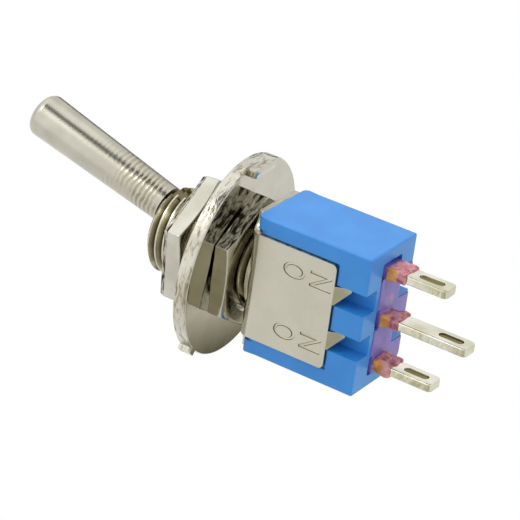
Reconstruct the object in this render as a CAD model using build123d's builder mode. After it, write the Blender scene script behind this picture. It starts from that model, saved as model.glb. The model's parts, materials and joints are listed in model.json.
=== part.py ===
from build123d import *
from math import acos, cos, degrees, radians, sin, sqrt, tan
import os

# Sub-miniature two-way toggle switch, panel mounted by an M5 threaded bushing.
# Frame: origin on the bushing axis at the bracket's top face, +Z towards the lever,
# X along the row of pins and the lever's throw, Y across the body. Millimetres.

# ---------------------------------------------------------------- body
body_length = 8.2            # along X
body_width = 4.7             # along Y, without the bracket's flaps
rear_z = -7.45               # rear face of the body, where the pins leave
edge_round = 0.12            # moulded edges
shoulder_round = 0.75        # long top edges, under the bracket's bends

# ---------------------------------------------------------------- sheet-metal bracket
sheet = 0.3
flap_width = 6.2
flap_proud = 0.15            # how far a flap stands off the body's side
flap_end_z = -5.55
bend_inner = 0.35
relief_depth = 0.75          # how far in from the flap's outer face the plate narrows
relief_radius = 0.7
flap_corner = 0.3
fang_length = 0.95
fang_bend_deg = 32.0
fang_tip_width = 0.25

# ---------------------------------------------------------------- notches for the fangs
notch_inner = 0.72           # nearest edge to the middle, along X
notch_outer = 1.96
notch_depth = 1.1
notch_top_z = -5.3
fang_clearance = 0.07

# ---------------------------------------------------------------- bushing
thread_radius = 2.5
bushing_top_z = 6.6
thread_chamfer = 0.28
keyway_width = 1.2
keyway_floor = 2.15          # distance of the keyway's floor from the axis
relief_groove_z = (4.3, 4.84)    # run-out groove of the front thread
relief_groove_depth = 0.25
mouth_radius = 2.0
mouth_start_z = 4.8
throat_radius = 1.3
slot_half_length = 1.9       # lower bore, along X
slot_half_width = 0.95       # lower bore, along Y
foot_length = 6.2            # foot under the bracket, along X
foot_width = 3.6
foot_thickness = 0.5
foot_clearance = 0.05

# ---------------------------------------------------------------- lever
pivot_z = 2.4
throw_deg = 15.4             # tilt to either side of the bushing axis
ball_radius = 1.6
neck_radius = 0.75
neck_end = 4.73              # distances along the lever from its pivot
handle_start = 4.76
handle_length = 14.25
handle_root_radius = 1.09
handle_tip_radius = 1.31
tip_round = 0.5
arm_radius = 0.85
arm_length = 4.9
arm_bore_radius = 0.55
arm_bore_top = 1.2
pin_radius = 0.4
pivot_pin_reach = 1.9
pivot_pin_chamfer = 0.08
running = 0.05               # radial clearance of turning and sliding pieces

# ---------------------------------------------------------------- plunger and its spring
plunger_radius = arm_bore_radius - running
plunger_tip = 5.73           # reach of the plunger's tip from the pivot
plunger_stem = 1.85
peg_radius = 0.22
peg_length = 0.5
spring_wire = 0.09           # wire radius
spring_turns = 4.5
spring_radius = 0.37
spring_gap = 0.01

# ---------------------------------------------------------------- rocker contact
rocker_deg = 6.0             # tilt to either side
wing_deg = 13.5              # rise of each wing from the middle
rocker_sheet = 0.25
rocker_half_length = 2.8
rocker_width = 2.3
rocker_gap = 0.13            # plunger tip to rocker, with the lever upright
rocker_corner = 0.35
waist_half = 0.42            # side notches that hold the rocker on its saddle
waist_depth = 0.32
pad_radius = 0.4
pad_thickness = 0.2
pad_edge = 0.05
pad_reach = 2.4              # from the middle, along the wing
contact_gap = 0.04

# ---------------------------------------------------------------- terminals
pin_pitch = 2.8
pin_thickness = 0.5          # along X
pin_width = 1.2              # along Y
side_pin_length = 3.7
middle_pin_length = 5.35
pin_tip_round = 0.32
pin_edge = 0.06
coin_length = 1.5            # coined dimple near each pin's tip
coin_width = 0.5
coin_depth = 0.08
coin_from_tip = 1.25
blade_width = 2.2            # wide part of a terminal, seated on the chamber's floor
saddle_gap = 0.03
saddle_round = 0.2
ear_rise = 0.55
ear_clearance = 0.05
foot_inner_x = 1.9           # inward foot that carries a fixed contact
contact_foot = 0.4           # its thickness
dome_height = 0.1

# ---------------------------------------------------------------- contact chamber
chamber_half_length = 3.35
chamber_half_width = 1.35
chamber_floor_z = -5.1
chamber_corner = 0.3

# ---------------------------------------------------------------- potting resin
well_length = 1.15           # around each pin, along X
well_width = 1.9             # along Y
well_depth = 0.45
well_recess = 0.25           # how far the resin lies below the rear face
film = 0.06                  # resin wetted over the rear face
film_past_pin = 0.5          # beyond the lower pin's middle, along X
film_short_of_pin = 0.3      # before the upper pin's middle
film_beside_pin = 0.3        # beyond the pins' near edges, along Y
film_to_edge = 0.05          # from the body's far edge
film_corner = 0.15
film_notch_margin = 0.08
collar = 0.08                # resin wetted up each pin
collar_length = 1.2
collar_taper = 2.0

# ---------------------------------------------------------------- keyed washer
washer_radius = 5.82
washer_thickness = 0.8
washer_z = 1.79              # rear face, on the bushing's axis
washer_lean_deg = 5.0        # the washer is loose, and leans until it rests on the rear nut
washer_lean_toward_deg = -55.0
washer_bore = 2.66
washer_edge = 0.06
tongue_width = 0.95
tongue_clearance = 0.1
lug_width = 2.2
lug_thickness = 0.5
lug_reach = 0.05             # beyond the washer's rim
lug_drop = 0.53              # beyond the washer's rear face
lug_bend = 0.5
lug_corner = 0.15
gate_deg = 222.0             # stub left where the washer was cut from its strip
gate_width = 0.55
gate_height = 0.2

# ---------------------------------------------------------------- nuts
nut_flats = 7.0
nut_bore = thread_radius + 0.06
nut_lead = 0.2               # chamfer at each end of the bore
nut_face = 0.97              # washer-face circle as a share of the flats
nut_chamfer_deg = 17.0
rear_nut_thickness = 0.95
front_nut_thickness = 1.25
front_nut_turn = -4.0
front_nut_band = 0.3         # sloping band round the front nut's front edge
front_nut_band_deg = 22.0
nut_gap = 0.03
front_nut_slack = 0.52       # how far the front nut stands off the washer

# ---------------------------------------------------------------- places worked out
half_length = body_length / 2
half_width = body_width / 2
flap_outer = half_width + flap_proud
flap_inner = flap_outer - sheet
foot_top_z = -sheet
foot_bottom_z = foot_top_z - foot_thickness
notch_width = notch_outer - notch_inner
notch_middle = (notch_inner + notch_outer) / 2
notch_places = [
    (notch_middle, half_width),
    (-notch_middle, half_width),
    (notch_middle, -half_width),
    (-notch_middle, -half_width),
]
seat_radius = ball_radius + running
tilt = radians(throw_deg)
lever_axis = Axis((0, 0, pivot_z), (sin(tilt), 0, cos(tilt)))
lever_side = Plane(
    origin=(0, 0, pivot_z),
    x_dir=(cos(tilt), 0, -sin(tilt)),
    z_dir=(0, -1, 0),
)
fulcrum_z = pivot_z - plunger_tip - rocker_gap - rocker_sheet
rocker_tilt = radians(rocker_deg)
rocker_side = Plane(
    origin=(0, 0, fulcrum_z),
    x_dir=(cos(rocker_tilt), 0, sin(rocker_tilt)),
    z_dir=(0, -1, 0),
)
wing = radians(wing_deg)
closed = radians(wing_deg - rocker_deg)
opened = radians(wing_deg + rocker_deg)
saddle_z = fulcrum_z - saddle_gap
ear_inner = rocker_width / 2 - waist_depth + ear_clearance
contact_x = pad_reach * cos(closed) + pad_thickness * sin(closed)
contact_z = fulcrum_z + pad_reach * sin(closed) - pad_thickness * cos(closed) - contact_gap
contact_foot_z = contact_z - pad_thickness
corner_radius = nut_flats / 2 / cos(radians(30)) + nut_gap
face_radius = nut_face * nut_flats / 2
chamfer_rise = (corner_radius - face_radius) * tan(radians(nut_chamfer_deg))
washer_lean = radians(washer_lean_deg)
washer_lean_toward = radians(washer_lean_toward_deg)
washer_plane = Plane(
    origin=(0, 0, washer_z),
    x_dir=(cos(washer_lean), 0, -sin(washer_lean) * cos(washer_lean_toward)),
    z_dir=(
        sin(washer_lean) * cos(washer_lean_toward),
        sin(washer_lean) * sin(washer_lean_toward),
        cos(washer_lean),
    ),
)
lean_room = corner_radius * tan(washer_lean)
rear_nut_z = washer_z - lean_room - nut_gap - rear_nut_thickness
front_nut_z = washer_z + washer_thickness / cos(washer_lean) + lean_room + front_nut_slack


def save(part, name):
    """Label a finished piece and write it to its own file."""
    part.label = name
    export_step(part, f"parts/{name}.step")


os.makedirs("parts", exist_ok=True)

# ================================================================ housing
with BuildPart() as housing:
    with BuildSketch(Plane.XY.offset(-sheet)):
        Rectangle(body_length, body_width)
    extrude(amount=rear_z + sheet)
    fillet(housing.edges().filter_by(Axis.Z), edge_round)
    fillet(housing.faces().sort_by(Axis.Z)[0].edges(), edge_round)
    fillet(housing.edges().filter_by(Axis.X).group_by(Axis.Z)[-1], shoulder_round)
    # beds that the bracket's flaps lie in
    with BuildSketch(Plane.XY.offset(-sheet)):
        with Locations((0, flap_outer), (0, -flap_outer)):
            Rectangle(flap_width + 2 * fang_clearance, 2 * sheet)
    extrude(amount=flap_end_z + sheet - fang_clearance, mode=Mode.SUBTRACT)
    # open notches that take the clinched fangs
    with BuildSketch(Plane.XY.offset(rear_z)):
        with Locations(*notch_places):
            Rectangle(notch_width, 2 * notch_depth)
    extrude(amount=notch_top_z - rear_z, mode=Mode.SUBTRACT)
    # bed for the bushing's foot, with the contact chamber below it
    with BuildSketch(Plane.XY.offset(foot_top_z)):
        Rectangle(foot_length + 2 * foot_clearance, foot_width + 2 * foot_clearance)
    extrude(amount=-foot_thickness, mode=Mode.SUBTRACT)
    with BuildSketch(Plane.XY.offset(foot_bottom_z)):
        RectangleRounded(2 * chamber_half_length, 2 * chamber_half_width, chamber_corner)
    extrude(amount=chamber_floor_z - foot_bottom_z, mode=Mode.SUBTRACT)
    # a slot for each pin, with a shallow well for the resin at the rear
    with BuildSketch(Plane.XY.offset(rear_z)):
        with GridLocations(pin_pitch, 0, 3, 1):
            Rectangle(pin_thickness, pin_width)
    extrude(amount=chamber_floor_z - rear_z, mode=Mode.SUBTRACT)
    with BuildSketch(Plane.XY.offset(rear_z)):
        with GridLocations(pin_pitch, 0, 3, 1):
            RectangleRounded(well_length, well_width, film_corner)
    extrude(amount=well_depth, mode=Mode.SUBTRACT)

save(housing.part, "housing")

# ================================================================ bracket
fang_bend = radians(fang_bend_deg)
fang_run = (fang_length * sin(fang_bend), -fang_length * cos(fang_bend))
fang_skin = (sheet * cos(fang_bend), sheet * sin(fang_bend))
fang_width = notch_width - 2 * fang_clearance
with BuildPart() as bracket:
    # plate with a flap down each side, as one bent channel
    with BuildSketch(Plane.YZ) as channel:
        with Locations((0, flap_end_z / 2)):
            Rectangle(2 * flap_outer, -flap_end_z)
        fillet(channel.vertices().group_by(Axis.Y)[-1], bend_inner + sheet)
        with Locations((0, (flap_end_z - sheet) / 2)):
            Rectangle(2 * flap_inner, -flap_end_z - sheet, mode=Mode.SUBTRACT)
        fillet(channel.vertices().group_by(Axis.Y)[-2], bend_inner)
    extrude(amount=half_length, both=True)
    # rounded reliefs that narrow the flaps
    relief_x = flap_width / 2 + half_length / 2
    relief_y = flap_outer - relief_depth + flap_outer / 2
    with BuildSketch(Plane.XY) as relief:
        with GridLocations(2 * relief_x, 2 * relief_y, 2, 2):
            Rectangle(half_length, flap_outer)
        near_corners = relief.vertices().filter_by(
            lambda corner: abs(corner.X) < half_length and abs(corner.Y) < flap_inner
        )
        fillet(near_corners, relief_radius)
    extrude(amount=flap_end_z, mode=Mode.SUBTRACT)
    fillet(bracket.edges().filter_by(Axis.Y).group_by(Axis.Z)[0], flap_corner)
    # clinch fangs, bent inwards below each flap
    with BuildSketch(Plane.YZ.offset(notch_middle), Plane.YZ.offset(-notch_middle)):
        with BuildLine():
            Polyline(
                (-flap_outer, flap_end_z + sheet),
                (-flap_outer, flap_end_z),
                (-flap_outer + fang_run[0], flap_end_z + fang_run[1]),
                (-flap_outer + fang_run[0] + fang_skin[0], flap_end_z + fang_run[1] + fang_skin[1]),
                (-flap_inner, flap_end_z + sheet * tan(fang_bend / 2)),
                (-flap_inner, flap_end_z + sheet),
                close=True,
            )
        make_face()
        mirror(about=Plane.YZ)
    extrude(amount=fang_width / 2, both=True)
    with BuildSketch(Plane.XZ):
        for middle in (notch_middle, -notch_middle):
            with BuildLine():
                Polyline(
                    (middle - fang_width, flap_end_z),
                    (middle - fang_width / 2, flap_end_z - fang_clearance),
                    (middle + fang_width / 2 - fang_tip_width, flap_end_z + fang_run[1]),
                    (middle + fang_width / 2 - fang_tip_width, flap_end_z - fang_length),
                    (middle - fang_width, flap_end_z - fang_length),
                    close=True,
                )
            make_face()
    extrude(amount=body_width, both=True, mode=Mode.SUBTRACT)
    # hole for the bushing
    with BuildSketch(Plane.XY):
        Circle(thread_radius + foot_clearance)
    extrude(amount=-sheet, mode=Mode.SUBTRACT)

save(bracket.part, "bracket")

# ================================================================ bushing
throat_z = pivot_z - sqrt(seat_radius**2 - throat_radius**2)
with BuildPart() as bushing:
    with BuildSketch(Plane.XY.offset(foot_top_z)):
        Circle(thread_radius)
    extrude(amount=bushing_top_z - foot_top_z)
    chamfer(bushing.edges().group_by(Axis.Z)[-1], thread_chamfer)
    with BuildSketch(Plane.XY.offset(foot_top_z)):
        Rectangle(foot_length, foot_width)
    extrude(amount=-foot_thickness)
    # bore: flared mouth, ball seat, throat
    with BuildSketch(Plane.XZ):
        with BuildLine():
            Polyline(
                (0, bushing_top_z),
                (mouth_radius, bushing_top_z),
                (seat_radius, mouth_start_z),
                (seat_radius, pivot_z),
            )
            CenterArc((0, pivot_z), seat_radius, 0, -degrees(acos(throat_radius / seat_radius)))
            Polyline(
                (throat_radius, throat_z),
                (throat_radius, foot_bottom_z),
                (0, foot_bottom_z),
                (0, bushing_top_z),
            )
        make_face()
    revolve(axis=Axis.Z, mode=Mode.SUBTRACT)
    # lower bore widens along the throw
    with BuildSketch(Plane.XZ):
        with BuildLine():
            Polyline(
                (-slot_half_width, throat_z),
                (-throat_radius, throat_z),
                (-slot_half_length, foot_bottom_z),
                (slot_half_length, foot_bottom_z),
                (throat_radius, throat_z),
                close=True,
            )
        make_face()
    extrude(amount=slot_half_width, both=True, mode=Mode.SUBTRACT)
    # grooves that the pivot pin drops into
    with BuildSketch(Plane.XZ):
        with Locations((0, pivot_z)):
            Circle(pin_radius + running)
        with Locations((0, (pivot_z + bushing_top_z) / 2)):
            Rectangle(2 * (pin_radius + running), bushing_top_z - pivot_z)
    extrude(amount=pivot_pin_reach + running, both=True, mode=Mode.SUBTRACT)
    # run-out groove behind the front stretch of thread
    with BuildSketch(Plane.XY.offset(relief_groove_z[0])):
        Circle(thread_radius + running)
        Circle(thread_radius - relief_groove_depth, mode=Mode.SUBTRACT)
    extrude(amount=relief_groove_z[1] - relief_groove_z[0], mode=Mode.SUBTRACT)
    # keyway along the thread
    with BuildSketch(Plane.XY):
        with Locations((keyway_floor, 0)):
            Rectangle(thread_radius, keyway_width, align=(Align.MIN, Align.CENTER))
    extrude(amount=bushing_top_z, mode=Mode.SUBTRACT)

save(bushing.part, "bushing")

# ================================================================ lever
neck_angle = degrees(acos(neck_radius / ball_radius))
arm_angle = degrees(acos(arm_radius / ball_radius))
with BuildPart() as lever:
    with BuildSketch(lever_side) as lever_outline:
        with BuildLine():
            Polyline(
                (0, -arm_bore_top),
                (arm_bore_radius, -arm_bore_top),
                (arm_bore_radius, -arm_length),
                (arm_radius, -arm_length),
                (arm_radius, -sqrt(ball_radius**2 - arm_radius**2)),
            )
            CenterArc((0, 0), ball_radius, -arm_angle, arm_angle + neck_angle)
            Polyline(
                (neck_radius, sqrt(ball_radius**2 - neck_radius**2)),
                (neck_radius, neck_end),
                (handle_root_radius, handle_start),
                (handle_tip_radius, handle_length),
                (0, handle_length),
                (0, -arm_bore_top),
            )
        make_face()
        tip_corner = lever_outline.vertices().group_by(Axis.Y)[-1].sort_by(Axis.X)[-1]
        fillet(tip_corner, tip_round)
    revolve(axis=lever_axis)
    with BuildSketch(Plane.XZ):
        with Locations((0, pivot_z)):
            Circle(pin_radius)
    extrude(amount=ball_radius, both=True, mode=Mode.SUBTRACT)

save(lever.part, "lever")

# ================================================================ pivot pin
with BuildPart() as pivot_pin:
    with BuildSketch(Plane.XZ):
        with Locations((0, pivot_z)):
            Circle(pin_radius)
    extrude(amount=pivot_pin_reach, both=True)
    chamfer(pivot_pin.edges().filter_by(GeomType.CIRCLE), pivot_pin_chamfer)

save(pivot_pin.part, "pivot_pin")

# ================================================================ plunger
plunger_top = plunger_tip - plunger_stem
with BuildPart() as plunger:
    with BuildSketch(lever_side):
        with BuildLine():
            CenterArc((0, plunger_radius - plunger_tip), plunger_radius, -90, 90)
            Polyline(
                (plunger_radius, plunger_radius - plunger_tip),
                (plunger_radius, -plunger_top),
                (peg_radius, -plunger_top),
                (peg_radius, peg_length - plunger_top),
                (0, peg_length - plunger_top),
                (0, -plunger_tip),
            )
        make_face()
    revolve(axis=lever_axis)

save(plunger.part, "plunger")

# ================================================================ plunger spring
spring_length = plunger_top - arm_bore_top - 2 * (spring_wire + spring_gap)
spring_start = plunger_top - spring_wire - spring_gap
with BuildPart() as plunger_spring:
    with BuildLine():
        coil = Helix(
            spring_length / spring_turns,
            spring_length,
            spring_radius,
            center=(-spring_start * sin(tilt), 0, pivot_z - spring_start * cos(tilt)),
            direction=(sin(tilt), 0, cos(tilt)),
        )
    with BuildSketch(Plane(origin=coil @ 0, z_dir=coil % 0)):
        Circle(spring_wire)
    sweep(path=coil, is_frenet=True)

save(plunger_spring.part, "plunger_spring")

# ================================================================ rocker contact
with BuildPart() as rocker:
    with BuildSketch(rocker_side):
        with BuildLine():
            Polyline(
                (0, 0),
                (rocker_half_length * cos(wing), rocker_half_length * sin(wing)),
                (
                    rocker_half_length * cos(wing) - rocker_sheet * sin(wing),
                    rocker_half_length * sin(wing) + rocker_sheet * cos(wing),
                ),
                (0, rocker_sheet / cos(wing)),
                (
                    rocker_sheet * sin(wing) - rocker_half_length * cos(wing),
                    rocker_half_length * sin(wing) + rocker_sheet * cos(wing),
                ),
                (-rocker_half_length * cos(wing), rocker_half_length * sin(wing)),
                close=True,
            )
        make_face()
    extrude(amount=rocker_width / 2, both=True)
    with BuildSketch(Plane.XY.offset(fulcrum_z - rocker_sheet)):
        with GridLocations(0, rocker_width, 1, 2):
            Rectangle(2 * waist_half, 2 * waist_depth)
    extrude(amount=3 * rocker_sheet, mode=Mode.SUBTRACT)

save(rocker.part, "rocker")

# ================================================================ pads on the rocker
lower_wing = Plane(
    origin=(-pad_reach * cos(closed), 0, fulcrum_z + pad_reach * sin(closed)),
    z_dir=(-sin(closed), 0, -cos(closed)),
)
upper_wing = Plane(
    origin=(pad_reach * cos(opened), 0, fulcrum_z + pad_reach * sin(opened)),
    z_dir=(sin(opened), 0, -cos(opened)),
)
with BuildPart() as rocker_pad_lower:
    with BuildSketch(lower_wing):
        Circle(pad_radius)
    extrude(amount=pad_thickness)
    chamfer(rocker_pad_lower.edges().filter_by(GeomType.CIRCLE).sort_by(Axis.Z)[0], pad_edge)

save(rocker_pad_lower.part, "rocker_pad_lower")

with BuildPart() as rocker_pad_upper:
    with BuildSketch(upper_wing):
        Circle(pad_radius)
    extrude(amount=pad_thickness)
    chamfer(rocker_pad_upper.edges().filter_by(GeomType.CIRCLE).sort_by(Axis.Z)[0], pad_edge)

save(rocker_pad_upper.part, "rocker_pad_upper")

# ================================================================ middle terminal
ear_width = blade_width / 2 - ear_inner
ear_height = fulcrum_z + ear_rise - chamber_floor_z
with BuildPart() as terminal_middle:
    # pin
    with BuildSketch(Plane.XY.offset(rear_z)):
        Rectangle(pin_thickness, pin_width)
    extrude(amount=-middle_pin_length)
    fillet(terminal_middle.edges().filter_by(Axis.X).group_by(Axis.Z)[0], pin_tip_round)
    chamfer(terminal_middle.edges().filter_by(Axis.Z), pin_edge)
    with BuildSketch(Plane.YZ.offset(pin_thickness / 2)):
        with Locations((0, rear_z - middle_pin_length + coin_from_tip)):
            SlotOverall(coin_length, coin_width, rotation=90)
    extrude(amount=-coin_depth, mode=Mode.SUBTRACT)
    # stem through the body, then a wide blade up to the saddle
    with BuildSketch(Plane.XY.offset(rear_z)):
        Rectangle(pin_thickness, pin_width)
    extrude(amount=chamber_floor_z - rear_z)
    with BuildSketch(Plane.XY.offset(chamber_floor_z)):
        Rectangle(pin_thickness, blade_width)
    extrude(amount=saddle_z - chamber_floor_z)
    fillet(terminal_middle.edges().filter_by(Axis.Y).group_by(Axis.Z)[-1], saddle_round)
    # ears that stand in the rocker's waist
    with BuildSketch(Plane.XY.offset(chamber_floor_z)):
        with GridLocations(0, blade_width - ear_width, 1, 2):
            Rectangle(pin_thickness, ear_width)
    extrude(amount=ear_height)

save(terminal_middle.part, "terminal_middle")

# ================================================================ side terminals
foot_run = pin_pitch + pin_thickness / 2 - foot_inner_x
with BuildPart() as terminal_upper:
    with BuildSketch(Plane.XY.offset(rear_z)):
        with Locations((pin_pitch, 0)):
            Rectangle(pin_thickness, pin_width)
    extrude(amount=-side_pin_length)
    fillet(terminal_upper.edges().filter_by(Axis.X).group_by(Axis.Z)[0], pin_tip_round)
    chamfer(terminal_upper.edges().filter_by(Axis.Z), pin_edge)
    with BuildSketch(Plane.YZ.offset(pin_pitch + pin_thickness / 2)):
        with Locations((0, rear_z - side_pin_length + coin_from_tip)):
            SlotOverall(coin_length, coin_width, rotation=90)
    extrude(amount=-coin_depth, mode=Mode.SUBTRACT)
    with BuildSketch(Plane.XY.offset(rear_z)):
        with Locations((pin_pitch, 0)):
            Rectangle(pin_thickness, pin_width)
    extrude(amount=chamber_floor_z - rear_z)
    with BuildSketch(Plane.XY.offset(chamber_floor_z)):
        with Locations((pin_pitch, 0)):
            Rectangle(pin_thickness, blade_width)
    extrude(amount=contact_foot_z - chamber_floor_z)
    with BuildSketch(Plane.XY.offset(contact_foot_z)):
        with Locations((foot_inner_x, 0)):
            Rectangle(foot_run, blade_width, align=(Align.MIN, Align.CENTER))
    extrude(amount=-contact_foot)

save(terminal_upper.part, "terminal_upper")

with BuildPart() as terminal_lower:
    with BuildSketch(Plane.XY.offset(rear_z)):
        with Locations((-pin_pitch, 0)):
            Rectangle(pin_thickness, pin_width)
    extrude(amount=-side_pin_length)
    fillet(terminal_lower.edges().filter_by(Axis.X).group_by(Axis.Z)[0], pin_tip_round)
    chamfer(terminal_lower.edges().filter_by(Axis.Z), pin_edge)
    with BuildSketch(Plane.YZ.offset(-pin_pitch + pin_thickness / 2)):
        with Locations((0, rear_z - side_pin_length + coin_from_tip)):
            SlotOverall(coin_length, coin_width, rotation=90)
    extrude(amount=-coin_depth, mode=Mode.SUBTRACT)
    with BuildSketch(Plane.XY.offset(rear_z)):
        with Locations((-pin_pitch, 0)):
            Rectangle(pin_thickness, pin_width)
    extrude(amount=chamber_floor_z - rear_z)
    with BuildSketch(Plane.XY.offset(chamber_floor_z)):
        with Locations((-pin_pitch, 0)):
            Rectangle(pin_thickness, blade_width)
    extrude(amount=contact_foot_z - chamber_floor_z)
    with BuildSketch(Plane.XY.offset(contact_foot_z)):
        with Locations((-foot_inner_x, 0)):
            Rectangle(foot_run, blade_width, align=(Align.MAX, Align.CENTER))
    extrude(amount=-contact_foot)

save(terminal_lower.part, "terminal_lower")

# ================================================================ fixed contacts
pad_body = pad_thickness - dome_height
dome_radius = (pad_radius**2 + dome_height**2) / (2 * dome_height)
dome_angle = degrees(acos((dome_radius - dome_height) / dome_radius))
with BuildPart() as fixed_pad_upper:
    with BuildSketch(Plane.XZ):
        with BuildLine():
            Polyline(
                (contact_x, contact_z),
                (contact_x, contact_foot_z),
                (contact_x + pad_radius, contact_foot_z),
                (contact_x + pad_radius, contact_foot_z + pad_body),
            )
            CenterArc((contact_x, contact_z - dome_radius), dome_radius, 90 - dome_angle, dome_angle)
        make_face()
    revolve(axis=Axis((contact_x, 0, 0), (0, 0, 1)))

save(fixed_pad_upper.part, "fixed_pad_upper")

with BuildPart() as fixed_pad_lower:
    with BuildSketch(Plane.XZ):
        with BuildLine():
            Polyline(
                (-contact_x, contact_z),
                (-contact_x, contact_foot_z),
                (pad_radius - contact_x, contact_foot_z),
                (pad_radius - contact_x, contact_foot_z + pad_body),
            )
            CenterArc((-contact_x, contact_z - dome_radius), dome_radius, 90 - dome_angle, dome_angle)
        make_face()
    revolve(axis=Axis((-contact_x, 0, 0), (0, 0, 1)))

save(fixed_pad_lower.part, "fixed_pad_lower")

# ================================================================ resin seal
film_low_x = -pin_pitch - film_past_pin
film_length = pin_pitch - film_short_of_pin - film_low_x
film_start_y = -pin_width / 2 - film_beside_pin
film_width = half_width - film_to_edge - film_start_y
with BuildPart() as resin_seal:
    # fill of the three wells
    with BuildSketch(Plane.XY.offset(rear_z)):
        with GridLocations(pin_pitch, 0, 3, 1):
            RectangleRounded(well_length, well_width, film_corner)
    extrude(amount=well_depth)
    # sunk surface where the film doesn't reach: one side of each pin, and beyond the last pin
    with BuildSketch(Plane.XY.offset(rear_z)):
        with Locations((0, -pin_width / 2)):
            Rectangle(body_length, half_width, align=(Align.CENTER, Align.MAX))
        with Locations((pin_pitch + pin_thickness / 2, 0)):
            Rectangle(well_length, well_width, align=(Align.MIN, Align.CENTER))
    extrude(amount=well_recess, mode=Mode.SUBTRACT)
    # film wetted over the rear face
    with BuildSketch(Plane.XY.offset(rear_z)):
        with Locations((film_low_x + film_length / 2, film_start_y + film_width / 2)):
            RectangleRounded(film_length, film_width, film_corner)
        with Locations((notch_middle, half_width), (-notch_middle, half_width)):
            Rectangle(
                notch_width + 2 * film_notch_margin,
                2 * (notch_depth + film_notch_margin),
                mode=Mode.SUBTRACT,
            )
        with Locations((0, -pin_width / 2), (-pin_pitch, -pin_width / 2)):
            Rectangle(
                well_length,
                well_width,
                align=(Align.CENTER, Align.MAX),
                mode=Mode.SUBTRACT,
            )
    extrude(amount=-film)
    # collars drawn up the pins
    with BuildSketch(Plane.XY.offset(rear_z)):
        with GridLocations(pin_pitch, 0, 3, 1):
            Rectangle(pin_thickness + 2 * collar, pin_width + 2 * collar)
    extrude(amount=-collar_length, taper=collar_taper)
    with BuildSketch(Plane.XY.offset(rear_z)):
        with GridLocations(pin_pitch, 0, 3, 1):
            Rectangle(pin_thickness + 2 * collar, pin_width + 2 * collar)
    extrude(amount=well_depth)
    # room for the pins
    with BuildSketch(Plane.XY.offset(rear_z + well_depth)):
        with GridLocations(pin_pitch, 0, 3, 1):
            Rectangle(pin_thickness, pin_width)
    extrude(amount=-middle_pin_length, mode=Mode.SUBTRACT)

save(resin_seal.part, "resin_seal")

# ================================================================ keyed washer
tongue_tip = keyway_floor + tongue_clearance
lug_outer = washer_radius + lug_reach
lug_inner = lug_outer - lug_thickness
washer_side = Plane(
    origin=washer_plane.origin,
    x_dir=washer_plane.x_dir,
    z_dir=-washer_plane.y_dir,
)
with BuildPart() as keyed_washer:
    with BuildSketch(washer_plane):
        Circle(washer_radius)
        Circle(washer_bore, mode=Mode.SUBTRACT)
    extrude(amount=washer_thickness)
    chamfer(keyed_washer.edges().filter_by(GeomType.CIRCLE).sort_by(SortBy.RADIUS)[-2:], washer_edge)
    with BuildSketch(washer_plane):
        with Locations((tongue_tip, 0)):
            Rectangle(washer_bore, tongue_width, align=(Align.MIN, Align.CENTER))
        with PolarLocations(washer_radius + gate_height / 2, 1, start_angle=gate_deg):
            Rectangle(2 * gate_height, gate_width)
    extrude(amount=washer_thickness)
    # lug bent back towards the body, to drop into a hole in the panel
    with BuildSketch(washer_side) as lug_outline:
        with BuildLine():
            Polyline(
                (lug_inner - lug_bend, 0),
                (lug_inner, 0),
                (lug_inner, -lug_drop),
                (lug_outer, -lug_drop),
                (lug_outer, washer_thickness),
                (lug_inner - lug_bend, washer_thickness),
                close=True,
            )
        make_face()
        outer_bend = lug_outline.vertices().group_by(Axis.Y)[-1].sort_by(Axis.X)[-1]
        fillet(outer_bend, lug_bend)
    extrude(amount=lug_width / 2, both=True)
    along_lug = Axis(washer_plane.origin, washer_plane.x_dir)
    across_washer = Axis(washer_plane.origin, washer_plane.z_dir)
    fillet(keyed_washer.edges().filter_by(along_lug).group_by(across_washer)[0], lug_corner)

save(keyed_washer.part, "keyed_washer")

# ================================================================ nuts
# the rear nut is chamfered on its bracket side only, and lies flat to the washer
with BuildPart() as rear_nut:
    with BuildSketch(Plane.XY.offset(rear_nut_z)):
        RegularPolygon(nut_flats / 2, 6, major_radius=False)
    extrude(amount=rear_nut_thickness)
    with BuildSketch(Plane.XZ):
        with BuildLine():
            Polyline(
                (0, rear_nut_z),
                (face_radius, rear_nut_z),
                (corner_radius, rear_nut_z + chamfer_rise),
                (corner_radius, rear_nut_z + rear_nut_thickness),
                (0, rear_nut_z + rear_nut_thickness),
                close=True,
            )
        make_face()
    revolve(axis=Axis.Z, mode=Mode.INTERSECT)
    with BuildSketch(Plane.XY.offset(rear_nut_z)):
        Circle(nut_bore)
    extrude(amount=rear_nut_thickness, mode=Mode.SUBTRACT)
    bore_edges = rear_nut.edges().filter_by(GeomType.CIRCLE).filter_by(
        lambda edge: abs(edge.radius - nut_bore) < nut_gap
    )
    chamfer(bore_edges, nut_lead)

save(rear_nut.part, "rear_nut")

with BuildPart() as front_nut:
    with BuildSketch(Plane.XY.offset(front_nut_z)):
        RegularPolygon(nut_flats / 2, 6, major_radius=False, rotation=front_nut_turn)
    extrude(amount=front_nut_thickness - front_nut_band)
    with BuildSketch(Plane.XY.offset(front_nut_z + front_nut_thickness - front_nut_band)):
        RegularPolygon(nut_flats / 2, 6, major_radius=False, rotation=front_nut_turn)
    extrude(amount=front_nut_band, taper=front_nut_band_deg)
    with BuildSketch(Plane.XZ):
        with BuildLine():
            Polyline(
                (0, front_nut_z),
                (face_radius, front_nut_z),
                (corner_radius, front_nut_z + chamfer_rise),
                (corner_radius, front_nut_z + front_nut_thickness),
                (0, front_nut_z + front_nut_thickness),
                close=True,
            )
        make_face()
    revolve(axis=Axis.Z, mode=Mode.INTERSECT)
    with BuildSketch(Plane.XY.offset(front_nut_z)):
        Circle(nut_bore)
    extrude(amount=front_nut_thickness, mode=Mode.SUBTRACT)
    bore_edges = front_nut.edges().filter_by(GeomType.CIRCLE).filter_by(
        lambda edge: abs(edge.radius - nut_bore) < nut_gap
    )
    chamfer(bore_edges, nut_lead)

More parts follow.
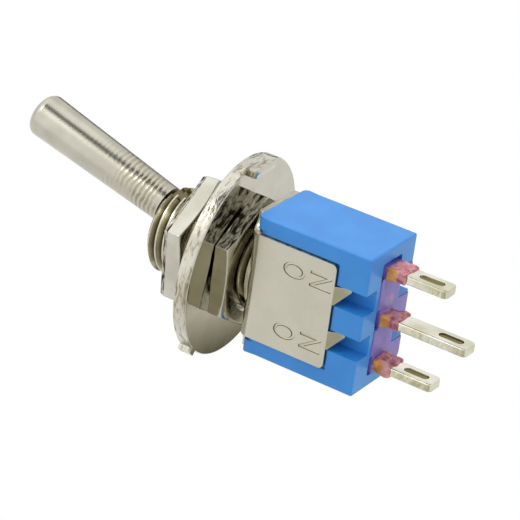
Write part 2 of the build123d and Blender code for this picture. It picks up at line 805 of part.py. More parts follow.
save(front_nut.part, "front_nut")
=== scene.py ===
import bpy
import json
import math
from mathutils import Matrix, Vector


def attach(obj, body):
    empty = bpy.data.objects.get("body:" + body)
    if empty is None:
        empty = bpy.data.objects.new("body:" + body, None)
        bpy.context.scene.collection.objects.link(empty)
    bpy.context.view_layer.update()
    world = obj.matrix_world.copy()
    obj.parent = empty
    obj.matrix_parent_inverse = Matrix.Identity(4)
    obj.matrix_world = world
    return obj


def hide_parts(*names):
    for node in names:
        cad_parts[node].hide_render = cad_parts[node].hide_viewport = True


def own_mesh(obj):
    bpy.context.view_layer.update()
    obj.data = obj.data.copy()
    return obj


# Looks for a sub-miniature toggle switch: nickel-plated metal on a blue moulded body.
# Lengths in this file are millimetres until mm() turns them to metres.

bpy.context.scene.view_settings.view_transform = "Standard"
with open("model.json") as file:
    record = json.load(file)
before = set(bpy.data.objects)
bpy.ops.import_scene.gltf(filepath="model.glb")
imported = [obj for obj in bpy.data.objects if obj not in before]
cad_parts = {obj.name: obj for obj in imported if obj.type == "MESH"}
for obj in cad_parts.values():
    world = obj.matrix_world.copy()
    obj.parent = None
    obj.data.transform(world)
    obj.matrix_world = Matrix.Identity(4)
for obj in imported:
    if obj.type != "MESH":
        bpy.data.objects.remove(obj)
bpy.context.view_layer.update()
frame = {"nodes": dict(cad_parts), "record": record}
nodes = frame["nodes"]
bodies = frame["record"]["behaviour"]["bodies"]

# Sizes shared with the solids.
REAR_Z = -7.45               # rear face of the body
FLAP_Y = -2.5                # outer face of the near flap
PIN_PITCH = 2.8
THREAD_RADIUS = 2.5          # over the crests
THREAD_PITCH = 0.5
PIVOT_Z = 2.4                # the lever's pivot, on the bushing's axis
THROW = math.radians(15.4)   # the lever's lean at rest
HANDLE_START = 4.76          # along the lever, from its pivot

# Sizes of what is cut and filled here.
GROOVE_CORNER = 0.264        # from the middle of the thread's cutter to each of its corners
GROOVE_PROUD = 0.05          # how far that cutter stands out of the crests
GROOVE_START = -0.247        # middle of the lowest groove
LETTER_WIDTH = 0.9
LETTER_HEIGHT = 1.4
CAPITAL_SHARE = 0.73         # a capital's height as a share of the type's size
LETTERS = (                  # each letter with its middle, x and z
    ("O", -1.85, -2.99), ("N", -1.90, -4.66),
    ("O", 1.87, -3.11), ("N", 1.83, -4.78),
)
SHOULDER_X = 3.7285          # middle of the block that squares each end of the body
SHOULDER_Z = -0.8
SHOULDER_SIZE = (0.737, 4.694, 1.0)
DIMPLE_X = 0.185             # just under a pin's dimpled face, from the pin's middle

# Sockets of a Mix node that mixes colours.
COLOUR_A, COLOUR_B, MIXED = 6, 7, 2


def mm(*lengths):
    """Millimetres to metres, as one number or a tuple."""
    scaled = tuple(length * 0.001 for length in lengths)
    return scaled[0] if len(scaled) == 1 else scaled


def repeats(size_mm):
    """The scale of a pattern whose cells are this large."""
    return 1000 / size_mm


def colour(code):
    """An sRGB hex code as the linear colour that shaders take."""
    parts = [int(code[i:i + 2], 16) / 255 for i in (1, 3, 5)]
    linear = [p / 12.92 if p <= 0.04045 else ((p + 0.055) / 1.055) ** 2.4 for p in parts]
    return (*linear, 1.0)


def add_node(tree, kind, settings=None, links=None):
    """Adds one node. Settings are properties, socket values or a ramp's stops; links feed it."""
    made = tree.nodes.new(kind)
    for name, value in (settings or {}).items():
        if name == "stops":
            band = made.color_ramp.elements
            while len(band) < len(value):
                band.new(1.0)
            for element, (position, code) in zip(band, value):
                element.position = position
                element.color = colour(code)
        elif isinstance(name, int) or name in made.inputs:
            made.inputs[name].default_value = value
        else:
            setattr(made, name, value)
    for name, source in (links or {}).items():
        tree.links.new(source, made.inputs[name])
    return made


def start_material(name):
    """An empty node material with its output, and the object's own coordinates in metres."""
    material = bpy.data.materials.new(name)
    material.use_nodes = True
    tree = material.node_tree
    tree.nodes.clear()
    output = add_node(tree, "ShaderNodeOutputMaterial")
    place = add_node(tree, "ShaderNodeTexCoord").outputs["Object"]
    return material, tree, output, place


# ---------------------------------------------------------------- workbench
def pick_up(piece):
    """Leaves edit mode and makes one piece the only one in hand."""
    if bpy.context.mode != "OBJECT":
        bpy.ops.object.mode_set(mode="OBJECT")
    bpy.ops.object.select_all(action="DESELECT")
    piece.select_set(True)
    bpy.context.view_layer.objects.active = piece


def finish_with(piece, kind, **settings):
    """Adds a modifier with its settings and applies it."""
    pick_up(piece)
    step = piece.modifiers.new(kind.lower(), kind)
    for name, value in settings.items():
        setattr(step, name, value)
    bpy.ops.object.modifier_apply(modifier=step.name)


def set_in_place(piece):
    """Moves a piece's place, turn and size into its mesh."""
    pick_up(piece)
    bpy.ops.object.transform_apply(location=True, rotation=True, scale=True)


def copy_solid(node, name):
    """A copy of a solid, with its loose triangles merged and its flat faces whole again."""
    piece = bpy.data.objects.new(name, nodes[node].data.copy())
    bpy.context.collection.objects.link(piece)
    piece.data.materials.clear()
    pick_up(piece)
    bpy.ops.mesh.customdata_custom_splitnormals_clear()
    bpy.ops.object.mode_set(mode="EDIT")
    bpy.ops.mesh.select_all(action="SELECT")
    bpy.ops.mesh.remove_doubles(threshold=mm(0.0005))
    bpy.ops.mesh.dissolve_limited(angle_limit=math.radians(0.4))
    bpy.ops.object.mode_set(mode="OBJECT")
    return piece


def cut_with(piece, cutter):
    """Cuts one piece out of another and throws the cutter away."""
    finish_with(piece, "BOOLEAN", operation="DIFFERENCE", solver="EXACT", object=cutter)
    bpy.data.objects.remove(cutter)


def smooth(piece, degrees=30):
    """Rounds curved faces to the eye and keeps flat faces flat."""
    pick_up(piece)
    bpy.ops.object.shade_smooth_by_angle(angle=math.radians(degrees))
    finish_with(piece, "WEIGHTED_NORMAL", keep_sharp=True, weight=80)


def break_edges(piece, width):
    """Takes the sharpness off every corner, as plating and tumbling do."""
    finish_with(piece, "BEVEL", width=mm(width), segments=2, limit_method="ANGLE",
                angle_limit=math.radians(35), use_clamp_overlap=True)


def mark(piece, name, domain, test):
    """Notes in the mesh which of its faces or points pass a test, for a material to read."""
    marks = piece.data.attributes.new(name, "FLOAT", domain)
    for item in piece.data.polygons if domain == "FACE" else piece.data.vertices:
        marks.data[item.index].value = float(test(item))


def stand_for(piece, node, material):
    """Dresses a piece, and lets it show in a solid's stead on the same body."""
    piece.data.materials.clear()
    piece.data.materials.append(material)
    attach(piece, next(body for body, held in bodies.items() if node in held))
    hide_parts(node)


# ---------------------------------------------------------------- materials
def plated_metal(name, light, dark, roughness, grain_mm, bump,
                 torn_mm=0.8, torn_deep=0.06, tear_and_reflection_tone="#B9B4A2", torn_share=0.43):
    """Nickel or tin plate: warm grey, a little cloudy, torn where it was cut, the tears' colour partly
    painted dark reflection, and with painted shade in grooves and hollows.
    """
    material, tree, output, place = start_material(name)
    clouds = add_node(tree, "ShaderNodeTexNoise", {"Scale": repeats(1.6), "Detail": 4.0},
                      {"Vector": place})
    grain = add_node(tree, "ShaderNodeTexNoise", {"Scale": repeats(grain_mm), "Detail": 3.0},
                     {"Vector": place})
    # tears run round the part, three times as long as they are high
    drawn = add_node(tree, "ShaderNodeMapping", {"Scale": (1.0, 1.0, 3.0)}, {"Vector": place})
    tears = add_node(tree, "ShaderNodeTexNoise", {
        "Scale": repeats(torn_mm), "Detail": 4.0, "Distortion": 0.6,
    }, {"Vector": drawn.outputs["Vector"]})
    cut = add_node(tree, "ShaderNodeAttribute", {"attribute_name": "cut"})
    grime = add_node(tree, "ShaderNodeAttribute", {"attribute_name": "grime"})
    tint = add_node(tree, "ShaderNodeValToRGB", {"stops": [(0.35, dark), (0.65, light)]},
                    {"Fac": clouds.outputs["Fac"]})
    # painted shade: darkens the colour to a dull brown wherever a piece marks grooves, letter walls or
    # a dimple
    shaded = add_node(tree, "ShaderNodeMix", {
        "data_type": "RGBA", "blend_type": "MULTIPLY", COLOUR_B: colour("#8A8056"),
    }, {"Factor": grime.outputs["Fac"], COLOUR_A: tint.outputs["Color"]})
    # tears: a real torn tone, but the near-black tone given for hexagon bar is painted dark reflection
    tear_and_reflection_ramp = add_node(tree, "ShaderNodeValToRGB", {
        "stops": [(torn_share - 0.1, tear_and_reflection_tone), (torn_share, "#E2DFD4"), (torn_share + 0.06, "#FFFFFF")],
    }, {"Fac": tears.outputs["Fac"]})
    with_tears_and_reflection = add_node(tree, "ShaderNodeMix", {"data_type": "RGBA", "blend_type": "MULTIPLY"}, {
        "Factor": cut.outputs["Fac"], COLOUR_A: shaded.outputs[MIXED], COLOUR_B: tear_and_reflection_ramp.outputs["Color"],
    })
    gloss = add_node(tree, "ShaderNodeMapRange", {
        "From Min": 0.3, "From Max": 0.7, "To Min": roughness * 0.8, "To Max": roughness * 1.25,
    }, {"Value": clouds.outputs["Fac"]})
    dull = add_node(tree, "ShaderNodeMath", {"operation": "MULTIPLY_ADD", 1: 0.15},
                    {0: cut.outputs["Fac"], 2: gloss.outputs["Result"]})
    tearing = add_node(tree, "ShaderNodeBump", {"Distance": mm(torn_deep)},
                       {"Height": tears.outputs["Fac"], "Strength": cut.outputs["Fac"]})
    relief = add_node(tree, "ShaderNodeBump", {"Strength": bump, "Distance": mm(0.03)},
                      {"Height": grain.outputs["Fac"], "Normal": tearing.outputs["Normal"]})
    shader = add_node(tree, "ShaderNodeBsdfPrincipled", {"Metallic": 1.0}, {
        "Base Color": with_tears_and_reflection.outputs[MIXED], "Roughness": dull.outputs["Value"],
        "Normal": relief.outputs["Normal"],
    })
    tree.links.new(shader.outputs["BSDF"], output.inputs["Surface"])
    return material


def turned_metal(name):
    """Nickel over turned brass: fine rings left by the tool on the lower half of the handle."""
    material, tree, output, place = start_material(name)
    along = add_node(tree, "ShaderNodeMapping", {
        "vector_type": "TEXTURE", "Location": mm(0, 0, PIVOT_Z), "Rotation": (0, THROW, 0),
    }, {"Vector": place})
    split = add_node(tree, "ShaderNodeSeparateXYZ", links={"Vector": along.outputs["Vector"]})
    # the rings are full for the handle's first millimetre and gone 6.5 mm up it
    turned = add_node(tree, "ShaderNodeMapRange", {
        "interpolation_type": "SMOOTHSTEP",
        "From Min": mm(HANDLE_START + 1.0), "From Max": mm(HANDLE_START + 6.5),
        "To Min": 1.0, "To Max": 0.0,
    }, {"Value": split.outputs["Z"]})
    # tool marks lie 0.3 mm apart; real ones are finer, but would not show
    # a wave of scale 1 has 20 / tau bands in a metre
    rings = add_node(tree, "ShaderNodeTexWave", {
        "wave_type": "BANDS", "bands_direction": "Z", "Scale": math.tau / 20 / mm(0.3),
        "Distortion": 3.5, "Detail": 3.0, "Detail Scale": 0.8,
    }, {"Vector": along.outputs["Vector"]})
    clouds = add_node(tree, "ShaderNodeTexNoise", {"Scale": repeats(1.4), "Detail": 4.0},
                      {"Vector": place})
    worn = add_node(tree, "ShaderNodeMapRange", {"From Min": 0.42, "From Max": 0.6},
                    {"Value": clouds.outputs["Fac"]})
    patchy = add_node(tree, "ShaderNodeMath", {"operation": "MULTIPLY"},
                      {0: turned.outputs["Result"], 1: worn.outputs["Result"]})
    depth = add_node(tree, "ShaderNodeMath", {"operation": "MULTIPLY"},
                     {0: rings.outputs["Fac"], 1: patchy.outputs["Value"]})
    relief = add_node(tree, "ShaderNodeBump", {"Strength": 0.7, "Distance": mm(0.03)},
                      {"Height": depth.outputs["Value"]})
    tint = add_node(tree, "ShaderNodeValToRGB", {"stops": [(0.35, "#B6B2A4"), (0.65, "#C2BFB2")]},
                    {"Fac": clouds.outputs["Fac"]})
    lined = add_node(tree, "ShaderNodeMix", {
        "data_type": "RGBA", "blend_type": "MULTIPLY", COLOUR_B: colour("#CFC8B4"),
    }, {"Factor": depth.outputs["Value"], COLOUR_A: tint.outputs["Color"]})
    gloss = add_node(tree, "ShaderNodeMapRange", {"To Min": 0.24, "To Max": 0.3},
                     {"Value": turned.outputs["Result"]})
    shader = add_node(tree, "ShaderNodeBsdfPrincipled", {"Metallic": 1.0}, {
        "Base Color": lined.outputs[MIXED], "Roughness": gloss.outputs["Result"],
        "Normal": relief.outputs["Normal"],
    })
    tree.links.new(shader.outputs["BSDF"], output.inputs["Surface"])
    return material


def moulded_plastic(name, light, dark, roughness):
    """Injection-moulded thermoplastic: even colour with faint flow marks and a satin skin."""
    material, tree, output, place = start_material(name)
    flow = add_node(tree, "ShaderNodeTexNoise", {"Scale": repeats(2.5), "Detail": 5.0},
                    {"Vector": place})
    skin = add_node(tree, "ShaderNodeTexNoise", {"Scale": repeats(0.12), "Detail": 2.0},
                    {"Vector": place})
    tint = add_node(tree, "ShaderNodeValToRGB", {"stops": [(0.35, dark), (0.65, light)]},
                    {"Fac": flow.outputs["Fac"]})
    relief = add_node(tree, "ShaderNodeBump", {"Strength": 0.08, "Distance": mm(0.02)},
                      {"Height": skin.outputs["Fac"]})
    shader = add_node(tree, "ShaderNodeBsdfPrincipled", {"Roughness": roughness, "IOR": 1.55}, {
        "Base Color": tint.outputs["Color"], "Normal": relief.outputs["Normal"],
    })
    tree.links.new(shader.outputs["BSDF"], output.inputs["Surface"])
    return material


def potting_resin(name):
    """Clear red epoxy: violet on the body, pink and creased up the pins, amber on their fronts."""
    material, tree, output, place = start_material(name)
    split = add_node(tree, "ShaderNodeSeparateXYZ", links={"Vector": place})
    lumps = add_node(tree, "ShaderNodeTexNoise", {"Scale": repeats(1.5), "Detail": 2.0},
                     {"Vector": place})
    creases = add_node(tree, "ShaderNodeTexNoise", {
        "Scale": repeats(0.45), "Detail": 5.0, "Distortion": 0.8,
    }, {"Vector": place})
    over_body = add_node(tree, "ShaderNodeValToRGB", {
        "stops": [(0.34, "#5A57AA"), (0.42, "#7A69BA"), (0.6, "#8774C0"), (0.68, "#AE8AB2")],
    }, {"Fac": lumps.outputs["Fac"]})
    over_pins = add_node(tree, "ShaderNodeValToRGB", {
        "stops": [(0.34, "#84405C"), (0.46, "#BC6C78"), (0.62, "#D69C98")],
    }, {"Fac": creases.outputs["Fac"]})
    climb = add_node(tree, "ShaderNodeMapRange", {
        "From Min": mm(REAR_Z - 0.06), "From Max": mm(REAR_Z - 0.22),
    }, {"Value": split.outputs["Z"]})
    both = add_node(tree, "ShaderNodeMix", {"data_type": "RGBA"}, {
        "Factor": climb.outputs["Result"],
        COLOUR_A: over_body.outputs["Color"], COLOUR_B: over_pins.outputs["Color"],
    })
    # amber is on the near side of each pin, and gone 0.8 mm from the body
    front = add_node(tree, "ShaderNodeMapRange", {"From Min": mm(-0.5), "From Max": mm(-0.58)},
                     {"Value": split.outputs["Y"]})
    low = add_node(tree, "ShaderNodeMapRange", {
        "From Min": mm(REAR_Z - 0.8), "From Max": mm(REAR_Z - 0.6),
    }, {"Value": split.outputs["Z"]})
    low_front = add_node(tree, "ShaderNodeMath", {"operation": "MULTIPLY"},
                         {0: front.outputs["Result"], 1: low.outputs["Result"]})
    bare = add_node(tree, "ShaderNodeMath", {"operation": "MULTIPLY"},
                    {0: low_front.outputs["Value"], 1: climb.outputs["Result"]})
    amber = add_node(tree, "ShaderNodeValToRGB", {"stops": [(0.4, "#C98236"), (0.62, "#E0A257")]},
                     {"Fac": creases.outputs["Fac"]})
    skin = add_node(tree, "ShaderNodeMix", {"data_type": "RGBA"}, {
        "Factor": bare.outputs["Value"],
        COLOUR_A: both.outputs[MIXED], COLOUR_B: amber.outputs["Color"],
    })
    relief = add_node(tree, "ShaderNodeBump", {"Strength": 0.3, "Distance": mm(0.05)},
                      {"Height": creases.outputs["Fac"]})
    shader = add_node(tree, "ShaderNodeBsdfPrincipled", {"Roughness": 0.36, "IOR": 1.52}, {
        "Base Color": skin.outputs[MIXED], "Normal": relief.outputs["Normal"],
    })
    tree.links.new(shader.outputs["BSDF"], output.inputs["Surface"])
    return material


def paint(node, material):
    """Gives a carried-over CAD node one material in all its slots."""
    mesh = nodes[node].data
    if not mesh.materials:
        mesh.materials.append(material)
    for place in range(len(mesh.materials)):
        mesh.materials[place] = material


# ---------------------------------------------------------------- camera
def place_camera():
    """A long lens below and behind the switch, with the lever to the upper left."""
    data = bpy.data.cameras.new("camera")
    data.lens = 173.1
    data.sensor_width = 36.0
    data.clip_start = mm(5)
    data.clip_end = mm(2000)
    camera = bpy.data.objects.new("camera", data)
    bpy.context.collection.objects.link(camera)
    right = Vector((0.1189, 0.5525, -0.8250)).normalized()
    forward = Vector((-0.4490, 0.7710, 0.4516)).normalized()
    up = right.cross(forward).normalized()
    right = forward.cross(up).normalized()
    turn = Matrix((right, up, -forward)).transposed().to_4x4()
    turn.translation = Vector(mm(61.513, -105.236, -61.037))
    camera.matrix_world = turn
    bpy.context.scene.camera = camera
    return right, up, forward


right, up, forward = place_camera()


# ---------------------------------------------------------------- light
def area_light(name, direction, distance_mm, size_mm, watts, mirrored=True):
    """A square soft box aimed at the middle of the switch. Plating shows it only if mirrored."""
    data = bpy.data.lights.new(name, "AREA")
    data.size = mm(size_mm)
    data.energy = watts
    lamp = bpy.data.objects.new(name, data)
    bpy.context.collection.objects.link(lamp)
    lamp.visible_glossy = mirrored
    away = direction.normalized()
    lamp.location = away * mm(distance_mm)
    lamp.rotation_mode = "QUATERNION"
    lamp.rotation_quaternion = away.to_track_quat("Z", "Y")


area_light("top_box", up * 1.0 - right * 0.35 - forward * 0.4,
           distance_mm=160, size_mm=260, watts=0.08)
area_light("ceiling_panel", up * 0.95 - right * 0.1 - forward * 0.3,
           distance_mm=160, size_mm=120, watts=0.075, mirrored=False)
area_light("bare_lamp", up * 0.69 - right * 0.53 - forward * 0.49,
           distance_mm=160, size_mm=36, watts=0.02)
area_light("front_fill", up * 0.1 - right * 0.8 - forward * 0.9,
           distance_mm=260, size_mm=300, watts=0.06)


def sort_rays(tree):
    """The kinds of ray, and a value that is 1 for what a shiny or clear face shows."""
    rays = add_node(tree, "ShaderNodeLightPath")
    shiny = add_node(tree, "ShaderNodeMath", {"operation": "MAXIMUM"}, {
        0: rays.outputs["Is Glossy Ray"], 1: rays.outputs["Is Transmission Ray"],
    })
    return rays, shiny.outputs["Value"]


def studio_world():
    """White paper all round, seen by the lens and in shiny faces, over a softer room light."""
    world = bpy.data.worlds.new("studio")
    bpy.context.scene.world = world
    world.use_nodes = True
    tree = world.node_tree
    tree.nodes.clear()
    output = add_node(tree, "ShaderNodeOutputWorld")
    white = colour("#FFFFFF")
    room = add_node(tree, "ShaderNodeBackground", {"Color": white, "Strength": 0.54})
    paper = add_node(tree, "ShaderNodeBackground", {"Color": white, "Strength": 1.0})
    rays, shiny = sort_rays(tree)
    either = add_node(tree, "ShaderNodeMath", {"operation": "MAXIMUM"},
                      {0: rays.outputs["Is Camera Ray"], 1: shiny})
    mix = add_node(tree, "ShaderNodeMixShader", links={
        0: either.outputs["Value"], 1: room.outputs["Background"], 2: paper.outputs["Background"],
    })
    tree.links.new(mix.outputs["Shader"], output.inputs["Surface"])


studio_world()


def lay_floor():
    """A plain pale floor of matt paper, far below. It glows a little, and is white in shiny faces."""
    bpy.ops.object.select_all(action="DESELECT")
    bpy.ops.mesh.primitive_plane_add(size=mm(3000), location=mm(0, 0, -200))
    floor = bpy.context.object
    floor.name = "floor"
    material, tree, output, place = start_material("matt_paper")
    fibre = add_node(tree, "ShaderNodeTexNoise", {"Scale": repeats(3.0), "Detail": 3.0},
                     {"Vector": place})
    tint = add_node(tree, "ShaderNodeValToRGB", {"stops": [(0.3, "#EDEDEB"), (0.7, "#F4F4F2")]},
                    {"Fac": fibre.outputs["Fac"]})
    shader = add_node(tree, "ShaderNodeBsdfPrincipled", {"Roughness": 0.9, "Emission Strength": 0.38},
                      {"Base Color": tint.outputs["Color"], "Emission Color": tint.outputs["Color"]})
    white = add_node(tree, "ShaderNodeEmission", {"Strength": 1.0}, {"Color": tint.outputs["Color"]})
    rays, shiny = sort_rays(tree)
    mix = add_node(tree, "ShaderNodeMixShader", links={
        0: shiny, 1: shader.outputs["BSDF"], 2: white.outputs["Emission"],
    })
    tree.links.new(mix.outputs["Shader"], output.inputs["Surface"])
    floor.data.materials.append(material)


lay_floor()


def hang_card(name, towards, distance_mm, width_mm, height_mm, left_end, right_end):
    """A card that only plating shows, for its dark and pale reflections. Its colour runs across it."""
    away = towards.normalized()
    across = (right - away * right.dot(away)).normalized()
    bpy.ops.object.select_all(action="DESELECT")
    bpy.ops.mesh.primitive_plane_add(size=1)
    card = bpy.context.object
    card.name = name
    sides = across * mm(width_mm), away.cross(across) * mm(height_mm), away
    turn = Matrix(sides).transposed().to_4x4()
    turn.translation = away * mm(distance_mm)
    card.matrix_world = turn
    card.visible_camera = card.visible_diffuse = card.visible_shadow = card.visible_transmission = False
    material, tree, output, place = start_material(name + "_pulpboard")
    split = add_node(tree, "ShaderNodeSeparateXYZ", links={"Vector": place})
    # the card runs from -0.5 to 0.5 in its own coordinates
    fade = add_node(tree, "ShaderNodeMath", {"operation": "ADD", 1: 0.5}, {0: split.outputs["X"]})
    tint = add_node(tree, "ShaderNodeValToRGB", {"stops": [(0.4, left_end), (0.6, right_end)]},
                    {"Fac": fade.outputs["Value"]})
    shader = add_node(tree, "ShaderNodeBsdfPrincipled", {"Roughness": 0.9},
                      {"Base Color": tint.outputs["Color"]})
    tree.links.new(shader.outputs["BSDF"], output.inputs["Surface"])
    card.data.materials.append(material)


hang_card("ceiling_card", right * 0.12 + up * 0.76 - forward * 0.6,
          distance_mm=130, width_mm=130, height_mm=62, left_end="#2E2A20", right_end="#3A3528")
hang_card("table_card", up * -0.79 - right * 0.275 - forward * 0.548,
          distance_mm=140, width_mm=200, height_mm=130, left_end="#E4E0CC", right_end="#D4D0B8")
hang_card("far_card", up * 0.49 + right * 0.29 + forward * 0.82,
          distance_mm=120, width_mm=80, height_mm=40, left_end="#6E6A5C", right_end="#7A7666")
hang_card("low_card", right * 0.6 - up * 0.62 + forward * 0.72,
          distance_mm=26, width_mm=22, height_mm=14, left_end="#5E5A48", right_end="#F0ECDC")


# ---------------------------------------------------------------- pieces
def cut_thread():
    """The bushing with its thread: a 60 degree groove wound down the whole barrel."""
    bushing = copy_solid("bushing", "threaded_bushing")
    middle = THREAD_RADIUS + GROOVE_PROUD - GROOVE_CORNER / 2
    bpy.ops.object.select_all(action="DESELECT")
    bpy.ops.mesh.primitive_circle_add(
        vertices=3, radius=mm(GROOVE_CORNER), location=mm(middle, 0, GROOVE_START),
        rotation=(math.pi / 2, -math.pi / 2, 0),
    )
    cutter = bpy.context.object
    set_in_place(cutter)
    finish_with(cutter, "SCREW", angle=math.tau, screw_offset=mm(THREAD_PITCH), iterations=14,
                steps=56, render_steps=56, axis="Z")
    pick_up(cutter)
    bpy.ops.object.mode_set(mode="EDIT")
    bpy.ops.mesh.select_all(action="SELECT")
    bpy.ops.mesh.fill_holes(sides=0)
    bpy.ops.mesh.select_all(action="SELECT")
    bpy.ops.mesh.normals_make_consistent(inside=False)
    cut_with(bushing, cutter)
    smooth(bushing)
    # painted shade in the thread's grooves
    mark(bushing, "grime", "POINT",
         lambda point: math.hypot(point.co.x, point.co.y) < mm(THREAD_RADIUS - 0.1))
    return bushing


def stamp_letters(bracket):
    """ON stamped twice in the near flap, one word at each end of the throw."""
    lift, slimming, straight, rounding = 0.03, 0.03, 0.03, 0.05
    for letter, x, z in LETTERS:
        bpy.ops.object.select_all(action="DESELECT")
        bpy.ops.object.text_add(location=mm(x, FLAP_Y - lift, z), rotation=(math.pi / 2, 0, 0))
        stamp = bpy.context.object
        stamp.data.body = letter
        stamp.data.align_x = "CENTER"
        stamp.data.align_y = "CENTER"
        stamp.data.size = mm(LETTER_HEIGHT / CAPITAL_SHARE)
        stamp.data.offset = mm(-slimming)
        stamp.data.extrude = mm(straight)
        stamp.data.bevel_depth = mm(rounding)
        stamp.data.resolution_u = 6
        bpy.ops.object.convert(target="MESH")
        stamp = bpy.context.object
        stamp.scale = (mm(LETTER_WIDTH) / stamp.dimensions.x, 1, 1)
        set_in_place(stamp)
        bpy.ops.object.mode_set(mode="EDIT")
        bpy.ops.mesh.select_all(action="SELECT")
        bpy.ops.mesh.remove_doubles(threshold=mm(0.002))
        bpy.ops.mesh.normals_make_consistent(inside=False)
        cut_with(bracket, stamp)


def press_bracket():
    """The sheet cover, its cut edges rolled over a little, with the letters stamped in and painted
    shade on their walls.
    """
    bracket = copy_solid("bracket", "pressed_bracket")
    break_edges(bracket, 0.06)
    stamp_letters(bracket)
    smooth(bracket)

    def at_an_end(face):
        return abs(face.normal.x) > 0.9 and abs(face.center.x) > mm(3)

    def walls_a_letter(face):
        near_letters = abs(face.center.x) < mm(2.6) and mm(-5.4) < face.center.z < mm(-2)
        sunk = mm(FLAP_Y + 0.002) < face.center.y < mm(FLAP_Y + 0.15)
        return near_letters and sunk and abs(face.normal.y) < 0.95

    mark(bracket, "cut", "FACE", at_an_end)
    # painted shade on the walls of the stamped letters
    mark(bracket, "grime", "FACE", walls_a_letter)
    return bracket


def pour_resin():
    """The potting: a thin film on the body, and lumps where it climbed the pins and set in folds."""
    resin = copy_solid("resin_seal", "poured_resin")
    finish_with(resin, "REMESH", mode="VOXEL", voxel_size=mm(0.045))
    collars = resin.vertex_groups.new(name="collars")
    above_film = [point.index for point in resin.data.vertices if point.co.z < mm(REAR_Z - 0.12)]
    collars.add(above_film, 1.0, "REPLACE")
    lumps = bpy.data.textures.new("resin_lumps", "CLOUDS")
    lumps.noise_scale = mm(0.8)
    lumps.noise_depth = 1
    finish_with(resin, "DISPLACE", texture=lumps, strength=mm(0.42), mid_level=0.38,
                texture_coords="LOCAL", vertex_group="collars")
    finish_with(resin, "SMOOTH", factor=0.5, iterations=9)
    smooth(resin, 60)
    return resin


def round_edges(block, radius, segments, wanted):
    """Rounds those edges of a block whose two ends pass a test."""
    pick_up(block)
    bpy.ops.object.mode_set(mode="EDIT")
    bpy.ops.mesh.select_mode(type="EDGE")
    bpy.ops.mesh.select_all(action="DESELECT")
    bpy.ops.object.mode_set(mode="OBJECT")
    for edge in block.data.edges:
        edge.select = wanted(*(block.data.vertices[corner].co for corner in edge.vertices))
    bpy.ops.object.mode_set(mode="EDIT")
    bpy.ops.mesh.bevel(offset=mm(radius), segments=segments, affect="EDGES")
    bpy.ops.object.mode_set(mode="OBJECT")


def mould_body():
    """The moulded body, its short upper edges filled out to stand square under the plate."""
    body = copy_solid("housing", "moulded_body")
    for end in (-1, 1):
        bpy.ops.object.select_all(action="DESELECT")
        bpy.ops.mesh.primitive_cube_add(size=1, location=mm(end * SHOULDER_X, 0, SHOULDER_Z),
                                        scale=mm(*SHOULDER_SIZE))
        block = bpy.context.object
        set_in_place(block)
        # first the upper edges that lie under the bracket's bends, then the outer upright ones
        round_edges(block, 0.35, 6, lambda a, b: abs(a.x - b.x) > mm(0.3) and a.z > mm(-0.5))
        round_edges(block, 0.12, 4, lambda a, b: abs(a.z - b.z) > mm(0.3) and abs(a.x) > mm(4))
        finish_with(body, "BOOLEAN", operation="UNION", solver="MANIFOLD", object=block)
        bpy.data.objects.remove(block)
    smooth(body)
    return body


def tumble(node, name, width):
    """A copy of a solid with its sharp corners taken off."""
    piece = copy_solid(node, name)
    break_edges(piece, width)
    smooth(piece)
    return piece


def punch_washer():
    """The keyed washer: rolled faces, and a rim torn by the punch."""
    washer = tumble("keyed_washer", "plated_washer", 0.05)
    mark(washer, "cut", "FACE",
         lambda face: abs(face.normal.z) < 0.8 and face.center.xy.length > mm(4))
    return washer


def cut_nut(node, name):
    """A nut off hexagon bar: rough on its sloping front, and on every second flat of the rear one."""
    nut = tumble(node, name, 0.03)

    def on_the_slope(face):
        return 0.2 < face.normal.z < 0.6

    def on_a_second_flat(face):
        around = math.atan2(face.normal.y, face.normal.x) + math.pi / 6
        upright = abs(face.normal.z) < 0.2 and face.center.xy.length > mm(3)
        return upright and math.cos(3 * around) > 0.9

    mark(nut, "cut", "FACE",
         lambda face: on_the_slope(face) or node == "rear_nut" and on_a_second_flat(face))
    return nut


def coin_pin(side, x):
    """A terminal of tinned brass, with painted shade in its dimple."""
    pin = tumble("terminal_" + side, "tinned_terminal_" + side, 0.1)
    tip = min(point.co.z for point in pin.data.vertices)

    def in_the_dimple(point):
        along = tip + mm(0.3) < point.co.z < mm(REAR_Z - 1)
        return along and abs(point.co.y) < mm(0.4) and point.co.x < mm(x + DIMPLE_X)

    # painted shade in the coined dimple
    mark(pin, "grime", "POINT", in_the_dimple)
    return pin


# rolled strip: satin, warm grey, nearly flat
sheet_nickel = plated_metal("nickel_plated_sheet", "#CBC8BA", "#C2BFB0",
                            roughness=0.24, grain_mm=0.25, bump=0.05)
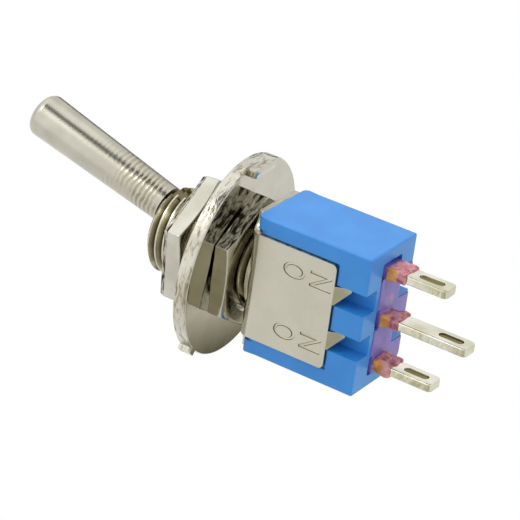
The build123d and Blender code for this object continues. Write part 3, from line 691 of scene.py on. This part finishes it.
# tumbled punching: faces like a mirror, with a torn rim
punched_nickel = plated_metal("nickel_plated_punching", "#D0CDC1", "#C4C1B4",
                              roughness=0.06, grain_mm=0.4, bump=0.04)
# drawn hexagon bar: bright flats, with tears where the tool chattered, their near-black colour partly a
# painted dark reflection
hexagon_nickel = plated_metal("nickel_plated_hexagon_bar", "#C9C7BB", "#B8B5A6",
                              roughness=0.15, grain_mm=0.5, bump=0.2,
                              torn_mm=0.65, torn_deep=0.3, tear_and_reflection_tone="#3F3B2C", torn_share=0.53)
# turned thread: yellower, with painted shade in its grooves
turned_thread_nickel = plated_metal("nickel_plated_thread", "#CFCBBB", "#B5B09C",
                                    roughness=0.2, grain_mm=0.2, bump=0.15)
# dipped in tin: pale, bright and a little wavy
tinned = plated_metal("hot_tinned_brass", "#E9E7DB", "#C9C6A8",
                      roughness=0.12, grain_mm=0.6, bump=0.45)
turned_nickel = turned_metal("turned_nickel")
# blue polyester: strong even colour with a soft shine
blue = moulded_plastic("moulded_blue_polyester", "#3590E0", "#2F86D6", roughness=0.3)
resin_red = potting_resin("red_potting_resin")
# undyed nylon: milky and nearly matt
nylon = moulded_plastic("natural_nylon", "#E0DCCB", "#D4D0BE", roughness=0.45)

stand_for(cut_thread(), "bushing", turned_thread_nickel)
stand_for(press_bracket(), "bracket", sheet_nickel)
stand_for(mould_body(), "housing", blue)
stand_for(pour_resin(), "resin_seal", resin_red)
stand_for(punch_washer(), "keyed_washer", punched_nickel)
for nut in ("rear_nut", "front_nut"):
    stand_for(cut_nut(nut, "plated_" + nut), nut, hexagon_nickel)
for side, x in (("lower", -PIN_PITCH), ("middle", 0), ("upper", PIN_PITCH)):
    stand_for(coin_pin(side, x), "terminal_" + side, tinned)

coil = copy_solid("plunger_spring", "coiled_spring")
smooth(coil)
stand_for(coil, "plunger_spring", hexagon_nickel)
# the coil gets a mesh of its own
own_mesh(coil)
paint("lever", turned_nickel)
for name in ("pivot_pin", "rocker", "rocker_pad_lower", "rocker_pad_upper",
             "fixed_pad_lower", "fixed_pad_upper"):
    paint(name, hexagon_nickel)
paint("plunger", nylon)
